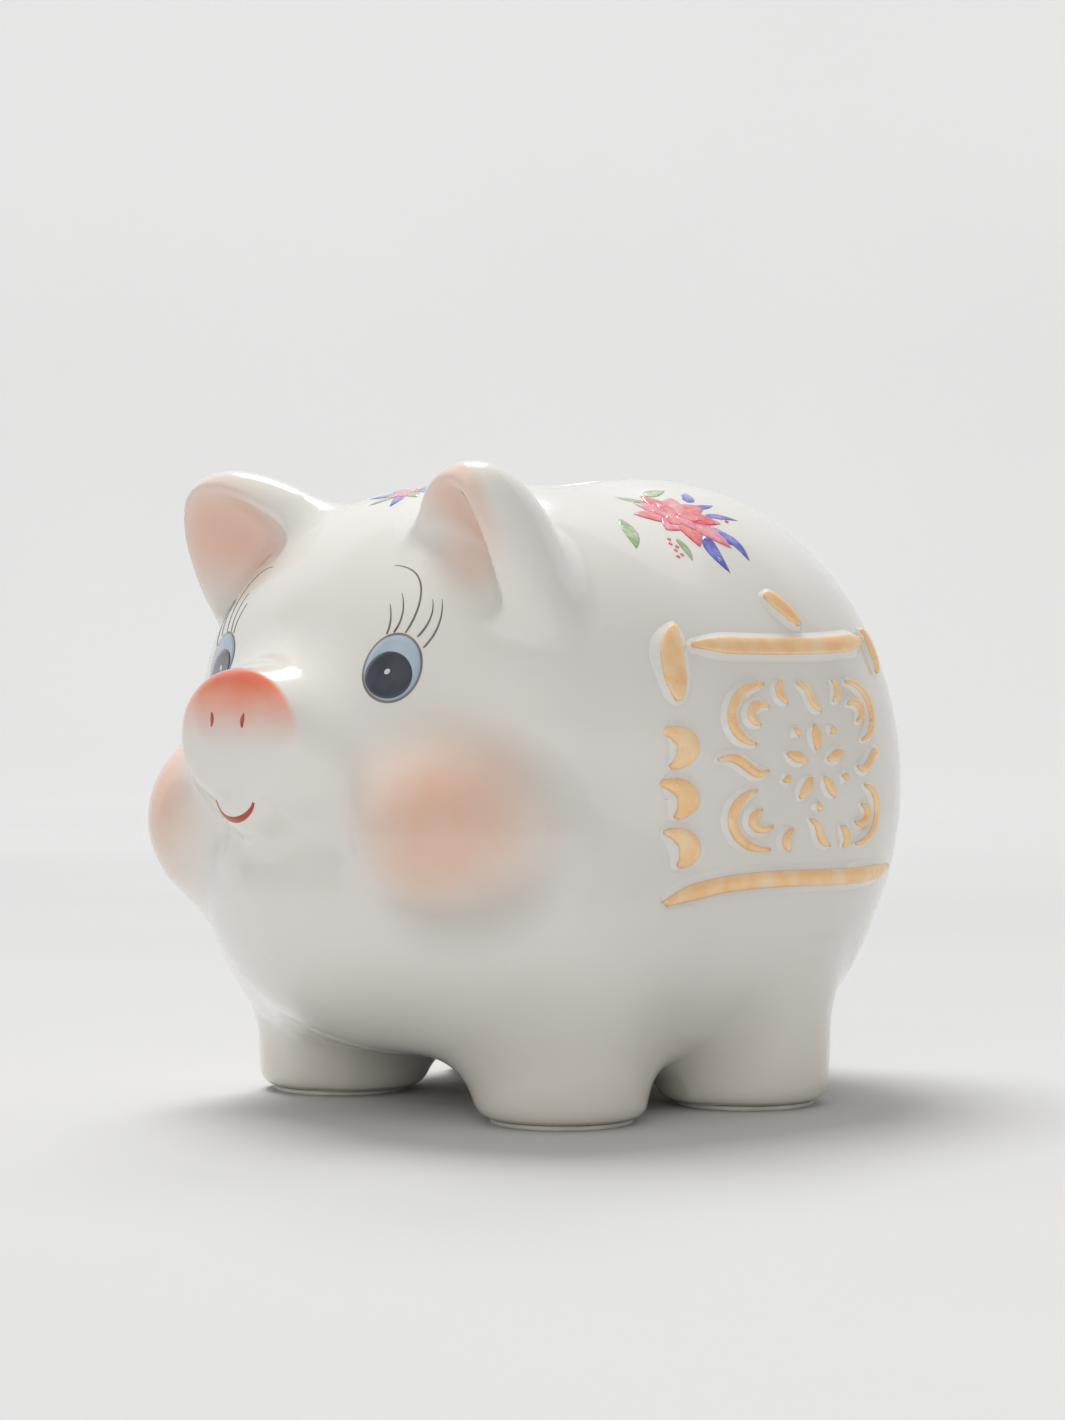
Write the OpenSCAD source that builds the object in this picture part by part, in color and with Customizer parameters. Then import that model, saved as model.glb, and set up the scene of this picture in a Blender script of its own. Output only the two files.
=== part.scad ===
// Piggy bank: hollow glazed body, applied clay parts, decoration and a rubber stopper.
// Units are millimetres. +Z is up, +X is the pig's left, the pig faces -Y.
// The underside of the foot pads is z = 0 and the bounding box is centred on x = y = 0.

/* [Body] */
// ceramic wall thickness
wall = 4.5; // [3.5:0.1:6]
// height of the flat under the belly
belly_z = 8; // [6:0.5:12]
// height of the floor inside the bank
floor_z = 16.5; // [14:0.5:20]
// trunk centre, behind the neck
trunk_y = 28; // [24:0.5:32]
// trunk half width
trunk_half_w = 66; // [62:0.5:70]
// trunk half length
trunk_half_l = 63.5; // [60:0.5:68]
// head half width
head_half_w = 67.5; // [62:0.5:70]
// cheek half width
cheek_half_w = 28; // [25:0.5:30]

/* [Coin slot] */
// slot length, along the back
slot_l = 42; // [36:1:46]
// slot width
slot_w = 5.2; // [4.6:0.1:6]
// slot centre, back from the middle
slot_y = 14; // [5:1:25]

/* [Stopper] */
// bore radius through the belly
bore_r = 18; // [15:0.5:20]
// radius of the recess round the bore
recess_r = 22; // [20:0.5:24]
// depth of the recess
recess_d = 3.2; // [2.5:0.1:4]
// radial clearance between the bung and the bore
bung_gap = 0.05; // [0.02:0.01:0.08]
// bore centre, back from the middle
bore_y = 6; // [0:1:12]

/* [Legs] */
// leg radius
leg_r = 20.5; // [18:0.5:22]
// leg distance from the centre plane
leg_x = 44; // [40:0.5:46]
// front leg position
leg_front_y = -37; // [-40:0.5:-34]
// rear leg position
leg_rear_y = 22; // [18:0.5:26]
// foot pad radius
pad_r = 17; // [14:0.5:18]
// foot pad thickness
pad_t = 1.2; // [1:0.1:2]

/* [Ears] */
// ear centre distance from the centre plane
ear_x = 44; // [42:0.5:46]
// ear centre height
ear_z = 132; // [128:0.5:134]
// ear half width along its root
ear_half_w = 27; // [24:0.5:28]
// ear height above its centre
ear_up = 25.5; // [22:0.5:28]
// ear half thickness before the dish is scooped out
ear_half_t = 19; // [16:0.5:22]

/* [Snout] */
// snout disc half width
snout_half_w = 22.2; // [20:0.2:24]
// snout disc half height
snout_half_h = 14.8; // [13:0.2:16]
// front of the snout
snout_front_y = -103.2; // [-105:0.2:-100]
// snout centre height
snout_z = 92.6; // [90:0.2:95]

/* [Relief] */
// half width of the bars, the leaf and the flames
stroke_w = 2.3; // [1.6:0.1:3]
// half width of the fine scrolls
fine_w = 1.3; // [1:0.1:1.5]
// height of a raised stroke above the flank
stroke_h = 1.9; // [1.2:0.1:2.6]
// height of the middle of the ornament
relief_z = 88; // [84:1:92]

/* [Hidden] */
trunk_c = [0, trunk_y, 78];
trunk_r = [trunk_half_w, trunk_half_l, 76.5];
middle_c = [0, -6, 81];
middle_r = [65.5, 57.5, 65];
head_c = [0, -42.5, 96.5];
head_r = [head_half_w, 42.5, 53.5];
// 2 is round seen from above, higher is squarer
head_square = 2.5;
chest_c = [0, -41.5, 55];
chest_r = [63, 52, 43.5];
cheek_c = [41.5, -63, 70];
cheek_r = [cheek_half_w, 29, 26];
// fullness over the front and rear legs
haunch_front_c = [39, -36, 44];
haunch_front_r = [27, 29, 38];
haunch_rear_c = [40, -4, 44];
haunch_rear_r = [27, 54, 36];
lip_c = [0, -92.8, 76];
lip_r = [12.5, 9.3, 8];
muzzle_z = 86;
muzzle_half_w = 27;
muzzle_half_h = 14;
muzzle_front_y = -101.2;
// plane inside the head where the snout ends
snout_root_y = -72;
ear_c = [ear_x, -54, ear_z];
ear_tilt = 25;
ear_lean = 0.55;
ear_taper = 0.016;
// the back of an ear is flatter than its front, its outer side narrower and turned a little forward
ear_back = 1.1;
ear_out = 1.25;
ear_toe = 0.15;
dish_c = [0, 1, -20];
dish_r = [24, 24, 16];
// fillets between the forms of the body, and the rounding of its flat underside
join_trunk = 24;
join_head = 30;
join_chest = 10;
join_haunches = 14;
join_side = 18;
join_cheek = 6;
round_belly = 12;
// dome, widening and edge rounding of the snout disc and of the muzzle
disc_dome = 2.2;
disc_flare = 0.012;
disc_edge = 2;
muzzle_dome = 3.5;
muzzle_flare = 0.015;
muzzle_edge = 8;
join_snout = 4;
// gap between the rump and the root of the tail's middle line, and how far the tip stands off
tail_gap = 1.2;
tail_rise = 12.3;
// the middle of the clay, from which every outline point is found, and a length that leaves it
body_o = [0, -6, 80];
body_far = 130;
ring_steps = 60;
row_steps = 40;
// flank coordinates are laid round the trunk at about this radius
flank_r = 62;
flank_turn = -4.5;
// half depth of the search for the skin under a painted layer
pin_depth = 14;
// painted layers reach this far over and under the skin before the clay is taken from them
paint_over = 0.6;
paint_under = 1.2;
line_over = 0.8;

// ---------- distance functions of the modelled clay ----------

function ell(p, c, r) =
    let (q = [(p.x - c.x) / r.x, (p.y - c.y) / r.y, (p.z - c.z) / r.z],
         k0 = norm(q),
         k1 = norm([q.x / r.x, q.y / r.y, q.z / r.z]))
    k1 < 1e-9 ? -min(r) : k0 * (k0 - 1) / k1;

// an ellipsoid that is squarer seen from above
function squared(p, c, r, power) =
    let (q = [abs(p.x - c.x) / r.x, abs(p.y - c.y) / r.y, (p.z - c.z) / r.z],
         flat = pow(pow(q.x, power) + pow(q.y, power), 1 / power),
         k0 = norm([flat, q.z]),
         k1 = norm([q.x / r.x, q.y / r.y, q.z / r.z]))
    k1 < 1e-9 ? -min(r) : k0 * (k0 - 1) / k1;

function smin(a, b, k) =
    let (h = max(k - abs(a - b), 0) / k)
    min(a, b) - h * h * k / 4;

function smax(a, b, k) = -smin(-a, -b, k);

function folded(p) = [abs(p.x), p.y, p.z];

// outside of the body without legs, ears and snout
skin = function (p)
    let (back = smin(ell(p, trunk_c, trunk_r), ell(p, middle_c, middle_r), join_trunk),
         top = smin(back, squared(p, head_c, head_r, head_square), join_head),
         front = smin(top, ell(p, chest_c, chest_r), join_chest),
         q = folded(p),
         haunch_front = ell(q, haunch_front_c, haunch_front_r),
         haunch_rear = ell(q, haunch_rear_c, haunch_rear_r),
         haunches = smin(haunch_front, haunch_rear, join_haunches),
         low = smin(front, haunches, join_side),
         full = smin(low, ell(q, cheek_c, cheek_r), join_cheek))
    smax(full, belly_z - p.z, round_belly);

// the coin space inside
cavity = function (p) smax(skin(p) + wall, floor_z - p.z, 10);

// one ear: a lobe leaning forward with a dish scooped out of its front
ear = function (p)
    let (d = p - ear_c,
         w = d.x * cos(ear_tilt) - d.z * sin(ear_tilt),
         v = d.x * sin(ear_tilt) + d.z * cos(ear_tilt),
         y = d.y + ear_lean * v + ear_toe * max(w, 0),
         side = (w > 0 ? ear_out : 1) * w * (1 + ear_taper * max(v, -8)),
         // the root is cut shorter than the tip
         v_root = max(v, 0) + 1.6 * min(v, 0),
         y_thin = min(y, 0) + ear_back * max(y, 0))
    smax(ell([side, v_root, y_thin], [0, 0, 0], [ear_half_w, ear_up, ear_half_t]),
         -ell([side, v_root, y], dish_c, dish_r), 3);

// an oval stub with a domed end, widening towards the face
stub = function (p, front_y, mid_z, half_w, half_h, bulge, flare, edge)
    let (grow = 1 + flare * max(p.y - front_y, 0),
         e = norm([p.x / (half_w * grow), (p.z - mid_z) / (half_h * grow)]),
         dome = front_y + bulge * e * e - p.y)
    smax(smax((e - 1) * half_h, dome, edge), p.y - snout_root_y, 4);

// the snout disc standing on a lower, rounder muzzle
snout_form = function (p)
    let (disc = stub(p, snout_front_y, snout_z, snout_half_w, snout_half_h,
                     disc_dome, disc_flare, disc_edge),
         muzzle = stub(p, muzzle_front_y, muzzle_z, muzzle_half_w, muzzle_half_h,
                       muzzle_dome, muzzle_flare, muzzle_edge))
    smin(disc, muzzle, join_snout);

lip_form = function (p) ell(p, lip_c, lip_r);

// ---------- turning a distance function into a closed mesh ----------

function reach(f, o, d, lo, hi, n) =
    n == 0 ? (lo + hi) / 2
    : let (m = (lo + hi) / 2)
      f(o + m * d) > 0 ? reach(f, o, d, lo, m, n - 1) : reach(f, o, d, m, hi, n - 1);

function spoke(row, ring, rows, rings) =
    let (a = 180 * row / rows, b = 360 * (ring + 0.5) / rings)
    [sin(a) * cos(b), sin(a) * sin(b), -cos(a)];

function blob_points(f, o, rows, rings, far) = concat(
    [o + reach(f, o, [0, 0, -1], 0, far, 16) * [0, 0, -1]],
    [for (i = [1:rows - 1], j = [0:rings - 1])
        let (d = spoke(i, j, rows, rings)) o + reach(f, o, d, 0, far, 16) * d],
    [o + reach(f, o, [0, 0, 1], 0, far, 16) * [0, 0, 1]]);

function grid_faces(rows, rings) = [
    for (i = [0:rows - 2], j = [0:rings - 1])
        let (a = 1 + i * rings + j, b = 1 + i * rings + (j + 1) % rings)
        each (i == rows - 2 ? [] : [[a, a + rings, b], [b, a + rings, b + rings]])];

function cap_faces(rows, rings) = [
    for (j = [0:rings - 1])
        let (last = (rows - 1) * rings + 1, top = 1 + (rows - 2) * rings, k = (j + 1) % rings)
        each [[0, 1 + j, 1 + k], [last, top + k, top + j]]];

module blob(f, o, rows, rings, far) {
    polyhedron(points = blob_points(f, o, rows, rings, far),
               faces = concat(grid_faces(rows, rings), cap_faces(rows, rings)),
               convexity = 6);
}

module body_outer() {
    blob(skin, body_o, row_steps, ring_steps, body_far);
}

// keeps what lies outside the body, so an applied part meets the wall face to face
module off_body() {
    resize([0, 0, 0]) difference() {
        children();
        body_outer();
    }
}

// ---------- ceramic ----------

module body_shell() {
    color("ivory")
    difference() {
        resize([0, 0, 0]) difference() {
            body_outer();
            blob(cavity, body_o, 24, 40, body_far);
            hull() {
                for (s = [-1, 1]) {
                    translate([0, slot_y + s * (slot_l - slot_w) / 2, 120])
                        cylinder(r = slot_w / 2, h = 60, $fn = 16);
                }
            }
        }
        translate([0, bore_y, 0])
            cylinder(r = bore_r, h = floor_z + 12, $fn = 64);
        translate([0, bore_y, belly_z - 4])
            cylinder(r = recess_r, h = recess_d + 4, $fn = 64);
    }
}

module snout_blank() {
    blob(snout_form, [0, -88, snout_z - 4], 18, 32, 40);
}

module lip_blank() {
    blob(lip_form, lip_c, 12, 20, 30);
}

module snout() {
    color("lightsalmon") off_body() snout_blank();
}

module lower_lip() {
    color("ivory") resize([0, 0, 0]) difference() {
        lip_blank();
        body_outer();
        snout_blank();
    }
}

module ear_blank() {
    blob(ear, ear_c, 20, 28, 50);
}

module ear_left() {
    color("ivory") off_body() ear_blank();
}

module ear_right() {
    color("ivory") off_body() mirror([1, 0, 0]) ear_blank();
}

module leg(x, y) {
    color("ivory") off_body()
        translate([x, y, pad_t])
            rotate_extrude($fn = 40)
                polygon([[0, 0], [leg_r - 3.5, 0], [leg_r - 1.8, 0.6], [leg_r - 0.7, 2],
                         [leg_r - 0.3, 5], [leg_r, 14], [leg_r + 1, 32], [0, 32]]);
}

module leg_front_left() leg(leg_x, leg_front_y);
module leg_front_right() leg(-leg_x, leg_front_y);
module leg_rear_left() leg(leg_x, leg_rear_y);
module leg_rear_right() leg(-leg_x, leg_rear_y);

// curly tail: just over one turn, tapering, lying on the rump
function rump_y(x, z) =
    trunk_y + trunk_half_l * sqrt(1 - pow(x / trunk_half_w, 2) - pow((z - 78) / 76.5, 2));

function tail_at(t) =
    let (a = 60 - 400 * t, r = 11.5 - 7.5 * t, x = r * cos(a), z = 98 + r * sin(a))
    [x, rump_y(x, z) + tail_gap + tail_rise * t * t, z];

function tail_ring(t, rr, n) =
    let (p = tail_at(t),
         f = tail_at(t + 0.01) - tail_at(t - 0.01),
         z = f / norm(f),
         x = cross(z, [0, 1, 0]) / norm(cross(z, [0, 1, 0])),
         y = cross(z, x))
    [for (j = [0:n - 1]) p + rr * (x * cos(360 * j / n) - y * sin(360 * j / n))];

module sweep(rings) {
    n = len(rings[0]);
    m = len(rings);
    pts = [for (r = rings) each r];
    sides = [for (i = [0:m - 2], j = [0:n - 1])
        let (a = i * n + j, b = i * n + (j + 1) % n)
        each [[a, b, a + n], [b, b + n, a + n]]];
    caps = [[for (j = [n - 1:-1:0]) j], [for (j = [0:n - 1]) (m - 1) * n + j]];
    polyhedron(points = pts, faces = concat(sides, caps), convexity = 8);
}

module tail() {
    color("ivory") off_body()
        sweep([for (i = [0:26]) let (t = i / 26) tail_ring(t, 3.4 - 0.9 * t - (i == 26 ? 1.1 : 0), 10)]);
}

// ---------- raised scroll ornament on the flanks ----------
// Strokes are cubic curves in flank coordinates: along the flank to the rear, then up.

bars = [
    // top bar
    [[-31.5, 25.5], [-10, 24.3], [10, 24.3], [31, 26]],
    // long swash under the ornament
    [[-37, -35], [-24, -26], [6, -34], [35, -30]]
];

heavy = [
    // leaf over the bar
    [[-7, 37], [-4, 36], [0, 33], [2.5, 29.8]],
    // hooks hanging at both ends of the bar
    [[-35, 30], [-36.5, 25], [-35, 19], [-34.5, 12.5]],
    [[35, 28.5], [37, 26.5], [36.5, 21.5], [34.5, 18]],
    // three flames before the ornament
    [[-38, 5.5], [-32.5, 6], [-31, 0], [-36, -3]],
    [[-38, -6.5], [-33, -6.5], [-31, -11], [-35, -15]],
    [[-37, -18], [-32.5, -18.5], [-31, -23], [-34.5, -26.5]]
];

// fine strokes of one quarter, mirrored into the other three
outer_scroll = [[-14.5, 16], [-26, 16], [-26.5, 3.4], [-18, 1.8]];
inner_scroll = [[-13.8, 10.6], [-19, 12.7], [-21, 7.6], [-16.6, 6.4]];
sprig = [[-9, 16.5], [-11, 15.2], [-10.4, 12.7], [-8, 11.4]];
// fine strokes with only one twin
tendril = [[-27, -1.6], [-21, 0.9], [-20, -7.5], [-14.8, -4.5]];
stem = [[-3.8, 16], [2, 14.4], [-2, 11], [2.8, 9.3]];
// height of the rosette in the ornament
rosette_t = -3.7;

function bez(c, t) =
    (1 - t) * (1 - t) * (1 - t) * c[0] + 3 * t * (1 - t) * (1 - t) * c[1]
    + 3 * t * t * (1 - t) * c[2] + t * t * t * c[3];

// the same stroke mirrored about the middle of the rosette
function turned(c, a, b) = [for (q = c) [a * q.x, b * (q.y - rosette_t) + rosette_t]];

// a short radial stroke of the rosette
function ray(a, r_in, r_out) =
    [for (i = [0:3]) let (r = r_in + (r_out - r_in) * i / 3) [r * cos(a), r * sin(a) + rosette_t]];

// flank coordinates to a point at height h over the flank
function flank(s, t, h) =
    let (a = s / flank_r * 180 / PI + flank_turn,
         d = [cos(a), sin(a), 0],
         o = [0, trunk_y, relief_z + t])
    o + (reach(skin, o, d, 20, 90, 12) + h) * d;

// rings of a stroke in n steps; no corner of a ring lies in the skin itself
function stroke_rings(c, half, n, k = 6) = [
    for (i = [0:n])
        let (t = i / n,
             p = bez(c, t),
             g = bez(c, t + 0.01) - bez(c, t - 0.01),
             u = g / norm(g),
             w = half * sqrt(sin(180 * (0.06 + 0.88 * t))),
             h = stroke_h * (0.6 + 0.4 * sin(180 * t)))
        [for (j = [0:k - 1])
            let (a = 360 * (j + 0.5) / k)
            flank(p.x + u.y * w * cos(a), p.y - u.x * w * cos(a), h * sin(a))]];

module relief_strokes() {
    for (c = bars) {
        sweep(stroke_rings(c, stroke_w, 16));
    }
    for (c = heavy) {
        sweep(stroke_rings(c, stroke_w, 5));
    }
    for (a = [-1, 1], b = [-1, 1]) {
        sweep(stroke_rings(turned(outer_scroll, a, b), fine_w, 7));
        sweep(stroke_rings(turned(inner_scroll, a, b), fine_w, 5));
        sweep(stroke_rings(turned(sprig, a, b), fine_w, 3));
    }
    for (a = [-1, 1]) {
        sweep(stroke_rings(turned(tendril, a, 1), fine_w, 6));
        sweep(stroke_rings(turned(stem, a, a), fine_w, 5));
    }
    for (i = [0:4]) {
        sweep(stroke_rings(ray(90 + 72 * i, 3.6, 9.8), 1.15 * fine_w, 4));
        sweep(stroke_rings(ray(54 + 72 * i, 9, 11.2), 0.8 * fine_w, 3));
    }
}

module relief_left() {
    color("gold") off_body() relief_strokes();
}

module relief_right() {
    color("gold") off_body() mirror([1, 0, 0]) relief_strokes();
}

// ---------- painted decoration, as thin fired layers ----------

// point of a surface under (a, b) of a local plane, raised by h
function pinned(f, c, nrm, ax, a, b, h) =
    let (ay = cross(nrm, ax),
         o = c + a * ax + b * ay - pin_depth * nrm)
    o + (reach(f, o, nrm, 0, 2 * pin_depth, 14) + h) * nrm;

// closed patch with outline radius r(angle) on a surface
module patch(f, c, nrm, ax, outline, steps, rows) {
    ring = [for (i = [1:rows], j = [0:steps - 1])
        let (g = 360 * j / steps, r = outline(g) * i / rows) [r * cos(g), r * sin(g)]];
    flat = concat([[0, 0]], ring);
    n = len(flat);
    pts = concat([for (q = flat) pinned(f, c, nrm, ax, q.x, q.y, paint_over)],
                 [for (q = flat) pinned(f, c, nrm, ax, q.x, q.y, -paint_under)]);
    fan = [for (j = [0:steps - 1]) [0, 1 + (j + 1) % steps, 1 + j]];
    band = rows < 2 ? [] : [for (i = [0:rows - 2], j = [0:steps - 1])
        let (a = 1 + i * steps + j, b = 1 + i * steps + (j + 1) % steps)
        each [[a, b, a + steps], [b, b + steps, a + steps]]];
    rim = [for (j = [0:steps - 1])
        let (a = 1 + (rows - 1) * steps + j, b = 1 + (rows - 1) * steps + (j + 1) % steps)
        each [[a, b, a + n], [b, b + n, a + n]]];
    top = concat(fan, band);
    under = [for (t = top) [t[0] + n, t[2] + n, t[1] + n]];
    polyhedron(points = pts, faces = concat(top, under, rim), convexity = 6);
}

// painted line along a cubic curve on a surface
module line_on(f, c, nrm, ax, curve, w, n, even = false) {
    sweep([for (i = [0:n])
        let (t = i / n,
             p = bez(curve, t),
             g = bez(curve, t + 0.01) - bez(curve, t - 0.01),
             u = g / norm(g),
             half = w * (even ? 0.45 + 0.55 * sin(180 * t) : 1 - 0.4 * t))
        [for (k = [[-1, -paint_under], [1, -paint_under], [1, line_over], [-1, line_over]])
            pinned(f, c, nrm, ax, p.x + u.y * half * k[0], p.y - u.x * half * k[0], k[1])]]);
}

eye_c = [34, -79, 108];
eye_n = [0.42, -0.87, 0.26] / norm([0.42, -0.87, 0.26]);
eye_x = cross([0, 0, 1], eye_n) / norm(cross([0, 0, 1], eye_n));
lashes = [
    [[-3.9, 9], [-3.2, 10.5], [-3.2, 13], [-4.4, 15.5]],
    [[-1.2, 9.6], [0.4, 11.6], [1, 14.6], [-0.6, 18.3]],
    [[2.4, 9.3], [6.6, 15], [6, 25.4], [-5, 26.6]],
    [[6, 7.7], [8.8, 10.4], [9.8, 13.4], [8.2, 17]],
    [[8.4, 4.9], [11, 7.8], [12.4, 12], [10.6, 17]]
];

module eye() {
    patch(skin, eye_c, eye_n, eye_x, function (g) 8.3 - 0.5 * cos(2 * g - 120), 22, 3);
}

module lash_set() {
    for (c = lashes) {
        line_on(skin, eye_c, eye_n, eye_x, c, 0.6, 6);
    }
}

module eye_left() color("slategray") off_body() eye();
module eye_right() color("slategray") off_body() mirror([1, 0, 0]) eye();
module lashes_left() color("dimgray") off_body() lash_set();
module lashes_right() color("dimgray") off_body() mirror([1, 0, 0]) lash_set();

module smile() {
    color("firebrick") resize([0, 0, 0]) difference() {
        line_on(lip_form, [0, -102, 74.5], [0, -1, 0], [1, 0, 0],
                [[-7.6, 2.4], [-5, -4.2], [5, -4.2], [7.6, 2.4]], 0.8, 10, true);
        lip_blank();
        body_outer();
        snout_blank();
    }
}

module nostrils() {
    color("firebrick") resize([0, 0, 0]) difference() {
        for (s = [-1, 1]) {
            line_on(snout_form, [0, -102, 94], [0, -1, 0], [1, 0, 0],
                    [[s * 6, 4], [s * 5.4, 2.6], [s * 5.3, 1], [s * 5.6, -0.6]], 0.9, 4);
        }
        snout_blank();
    }
}

// outline of a five-petalled flower
function blossom(size) = function (g) size * (0.78 + 0.22 * cos(5 * g));

module side_flower() {
    patch(skin, [33, 8, 140], [0.53, -0.08, 0.84] / norm([0.53, -0.08, 0.84]), [0, 1, 0],
          blossom(16), 40, 4);
}

module flower_left() color("palevioletred") off_body() side_flower();
module flower_right() color("palevioletred") off_body() mirror([1, 0, 0]) side_flower();
module flower_crown() {
    color("slateblue") off_body()
        patch(skin, [0, -50, 149], [0, -0.13, 0.99] / norm([0, -0.13, 0.99]), [1, 0, 0],
              blossom(13), 40, 4);
}

// ---------- stopper and foot pads ----------

module stopper() {
    shank_r = bore_r - bung_gap;
    seat_z = belly_z + recess_d;
    color("dimgray")
    translate([0, bore_y, 0])
        rotate_extrude($fn = 64)
            polygon([[0, seat_z - 1.2], [6, seat_z - 1.2], [7, belly_z + 0.4], [9, belly_z + 0.4],
                     [10, seat_z - 1.2], [14, seat_z - 1.2], [15.5, belly_z + 0.5],
                     [recess_r - 1.2, belly_z + 0.5], [recess_r - 0.6, belly_z + 1.1],
                     [recess_r - 0.6, seat_z], [shank_r, seat_z], [shank_r, floor_z + 2],
                     [shank_r - 1.2, floor_z + 3.4], [shank_r - 3.2, floor_z + 3.4],
                     [shank_r - 3.6, seat_z + 2.2], [0, seat_z + 2.2]]);
}

module pad(x, y) {
    color("whitesmoke") translate([x, y, 0]) cylinder(r = pad_r, h = pad_t, $fn = 48);
}

module pad_front_left() pad(leg_x, leg_front_y);
module pad_front_right() pad(-leg_x, leg_front_y);
module pad_rear_left() pad(leg_x, leg_rear_y);
module pad_rear_right() pad(-leg_x, leg_rear_y);

body_shell();
snout();
lower_lip();
ear_left();
ear_right();
leg_front_left();
leg_front_right();
leg_rear_left();
leg_rear_right();
tail();
relief_left();
relief_right();
eye_left();
eye_right();
lashes_left();
lashes_right();
smile();
nostrils();
flower_left();
flower_right();
flower_crown();
stopper();
pad_front_left();
pad_front_right();
pad_rear_left();
pad_rear_right();
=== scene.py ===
"""Looks of a glazed ceramic piggy bank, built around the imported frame.

Blender works in metres; every size in this file is in millimetres and goes through MM.
+Z is up, +X is the pig's left, and the pig faces -Y.
"""

import math

import bpy
import numpy as np
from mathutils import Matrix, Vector

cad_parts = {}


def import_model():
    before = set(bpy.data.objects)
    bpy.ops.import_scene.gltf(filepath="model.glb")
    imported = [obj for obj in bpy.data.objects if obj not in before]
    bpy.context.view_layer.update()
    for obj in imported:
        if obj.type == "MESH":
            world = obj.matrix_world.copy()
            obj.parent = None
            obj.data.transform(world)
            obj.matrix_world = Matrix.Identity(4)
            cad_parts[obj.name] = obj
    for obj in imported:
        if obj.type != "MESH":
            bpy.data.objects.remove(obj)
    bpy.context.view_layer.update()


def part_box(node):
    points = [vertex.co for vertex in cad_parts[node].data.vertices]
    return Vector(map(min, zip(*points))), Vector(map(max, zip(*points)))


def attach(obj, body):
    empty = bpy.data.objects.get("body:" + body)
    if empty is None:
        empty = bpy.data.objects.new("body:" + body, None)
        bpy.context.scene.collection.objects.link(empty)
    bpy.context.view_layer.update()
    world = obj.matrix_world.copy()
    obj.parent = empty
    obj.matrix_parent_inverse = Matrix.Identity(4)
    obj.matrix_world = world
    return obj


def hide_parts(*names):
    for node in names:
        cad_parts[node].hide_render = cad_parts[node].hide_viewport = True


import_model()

MM = 0.001
SIDES = (1, -1)
SIDE_NAMES = ("left", "right")

# ---- driving sizes

WALL = 4.5
# heights of the flat belly and of the floor inside
BELLY_Z = 8.0
FLOOR_Z = 16.5

# each form of the body is a centre and its half sizes; cheek and haunches are mirrored
TRUNK = ((0, 28, 78), (66, 63.5, 76.5))
MIDDLE = ((0, -6, 81), (65.5, 57.5, 65))
HEAD = ((0, -42.5, 96.5), (67.5, 42.5, 53.5))
# 2 is round seen from above, higher is squarer
HEAD_SQUARE = 2.5
CHEST = ((0, -41.5, 55), (63, 52, 43.5))
CHEEK = ((41.5, -63, 70), (28, 29, 26))
HAUNCHES = (((39, -36, 44), (27, 29, 38)), ((40, -4, 44), (27, 54, 36)))

# fillets between the forms, and the rounding of edges
JOIN_TRUNK = 24
JOIN_HEAD = 30
JOIN_CHEST = 10
JOIN_HAUNCHES = 14
JOIN_SIDE = 18
JOIN_CHEEK = 6
JOIN_EAR = 7
JOIN_SNOUT = 8
JOIN_MUZZLE = 4
JOIN_LIP = 2
JOIN_TAIL = 2.5
ROUND_BELLY = 12
ROUND_CAVITY = 10
ROUND_CUT = 2.2

EAR_C = (44, -54, 132)
EAR_R = (27, 25.5, 19)
EAR_TILT = math.radians(25)
EAR_LEAN = 0.55
EAR_TAPER = 0.016
# the back of an ear is flatter than its front, its outer side narrower and turned a little forward
EAR_BACK = 1.1
EAR_OUT = 1.25
EAR_TOE = 0.15
# below its centre an ear is cut shorter than above it
EAR_ROOT = 1.6
DISH_C = (0, 1, -20)
DISH_R = (24, 24, 16)
DISH_EDGE = 3

SNOUT_Y = -103.2
SNOUT_Z = 92.6
SNOUT_HALF = (22.2, 14.8)
MUZZLE_Y = -101.2
MUZZLE_Z = 86
MUZZLE_HALF = (27, 14)
# dome, widening and edge rounding of the snout disc and of the muzzle
DISC_DOME = 2.2
DISC_SHAPE = (DISC_DOME, 0.012, 2)
MUZZLE_SHAPE = (3.5, 0.015, 8)
# plane inside the head where the snout ends
SNOUT_ROOT_Y = -72
LIP = ((0, -92.8, 76), (12.5, 9.3, 8))

LEG_R = 20.5
LEG_FLARE = 0.03
LEG_TOP = 40
PAD_T = 1.2
# the fillet of a leg is wide under the belly and tight on the outside
LEG_FILLET_IN = 14
LEG_FILLET_OUT = 6

SLOT_L = 42.0
SLOT_W = 5.2
SLOT_Y = 14.0
# the slot's cut starts in the coin space
SLOT_LOW_Z = 138
BORE_R = 18.0
RECESS_R = 22.0
RECESS_D = 3.2
BORE_Y = 6.0
# the bore's cut ends in the coin space
BORE_TOP_Z = 34

# the tail curls round this height, clockwise seen from the front, from its root angle in degrees
TAIL_Z = 98
TAIL_FROM = 60
TAIL_SWEEP = 400
TAIL_CURL_R = (11.5, 4.0)
TAIL_THICK_R = (3.4, 2.1)
TAIL_GAP = 1.2
TAIL_RISE = 12.3

RELIEF_Z = 88.0
FLANK_R = 62.0
FLANK_TURN = math.radians(-4.5)

# step of the grid on which the outside is meshed, and the grid's reach
VOXEL = 1.15
GRID_HALF_X = 87
GRID_Y = (-105, 106)
GRID_Z = (-1, 162)


def pad_place(name):
    """Middle of a foot pad, in millimetres."""
    low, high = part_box(name)
    return [(low[i] + high[i]) / 2 / MM for i in range(2)]


LEG_X, LEG_FRONT_Y = pad_place("pad_front_left")
LEG_REAR_Y = pad_place("pad_rear_left")[1]

# ---- clay as distance functions


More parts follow.
